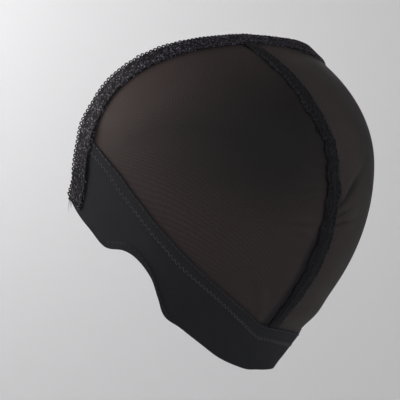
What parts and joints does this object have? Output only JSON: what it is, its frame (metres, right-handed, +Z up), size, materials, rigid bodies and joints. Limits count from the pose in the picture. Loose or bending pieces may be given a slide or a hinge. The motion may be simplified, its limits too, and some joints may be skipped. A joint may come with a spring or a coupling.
{
  "type": "wig cap",
  "caption": "Half-head wig cap in its worn form: sheer black mesh sides, taped centre-back seam, lace elastic along the open front and an opaque stretch band round ears and nape.",
  "frame": {"origin": "middle of the head that fills the cap, on the midline and the ear line at the head's widest level", "axes": "+Z up, face towards -Y so that the cap's open front faces -Y, wearer's left towards +X"},
  "size_m": [0.1636, 0.0982, 0.1651],
  "materials": {
    "sheer_mesh": "sheer black nylon power mesh, fine knitted net with a soft sheen",
    "seam_tape": "black woven seam tape, slightly puckered",
    "stretch_band": "matt black knitted stretch fabric, double topstitched",
    "lace_elastic": "black crocheted lace elastic with a looped picot edge"
  },
  "bodies": {
    "root": {"side_panel_left": "sheer_mesh", "side_panel_right": "sheer_mesh", "centre_seam_tape": "seam_tape", "nape_band": "stretch_band", "front_elastic": "lace_elastic"}
  },
  "joints": []
}
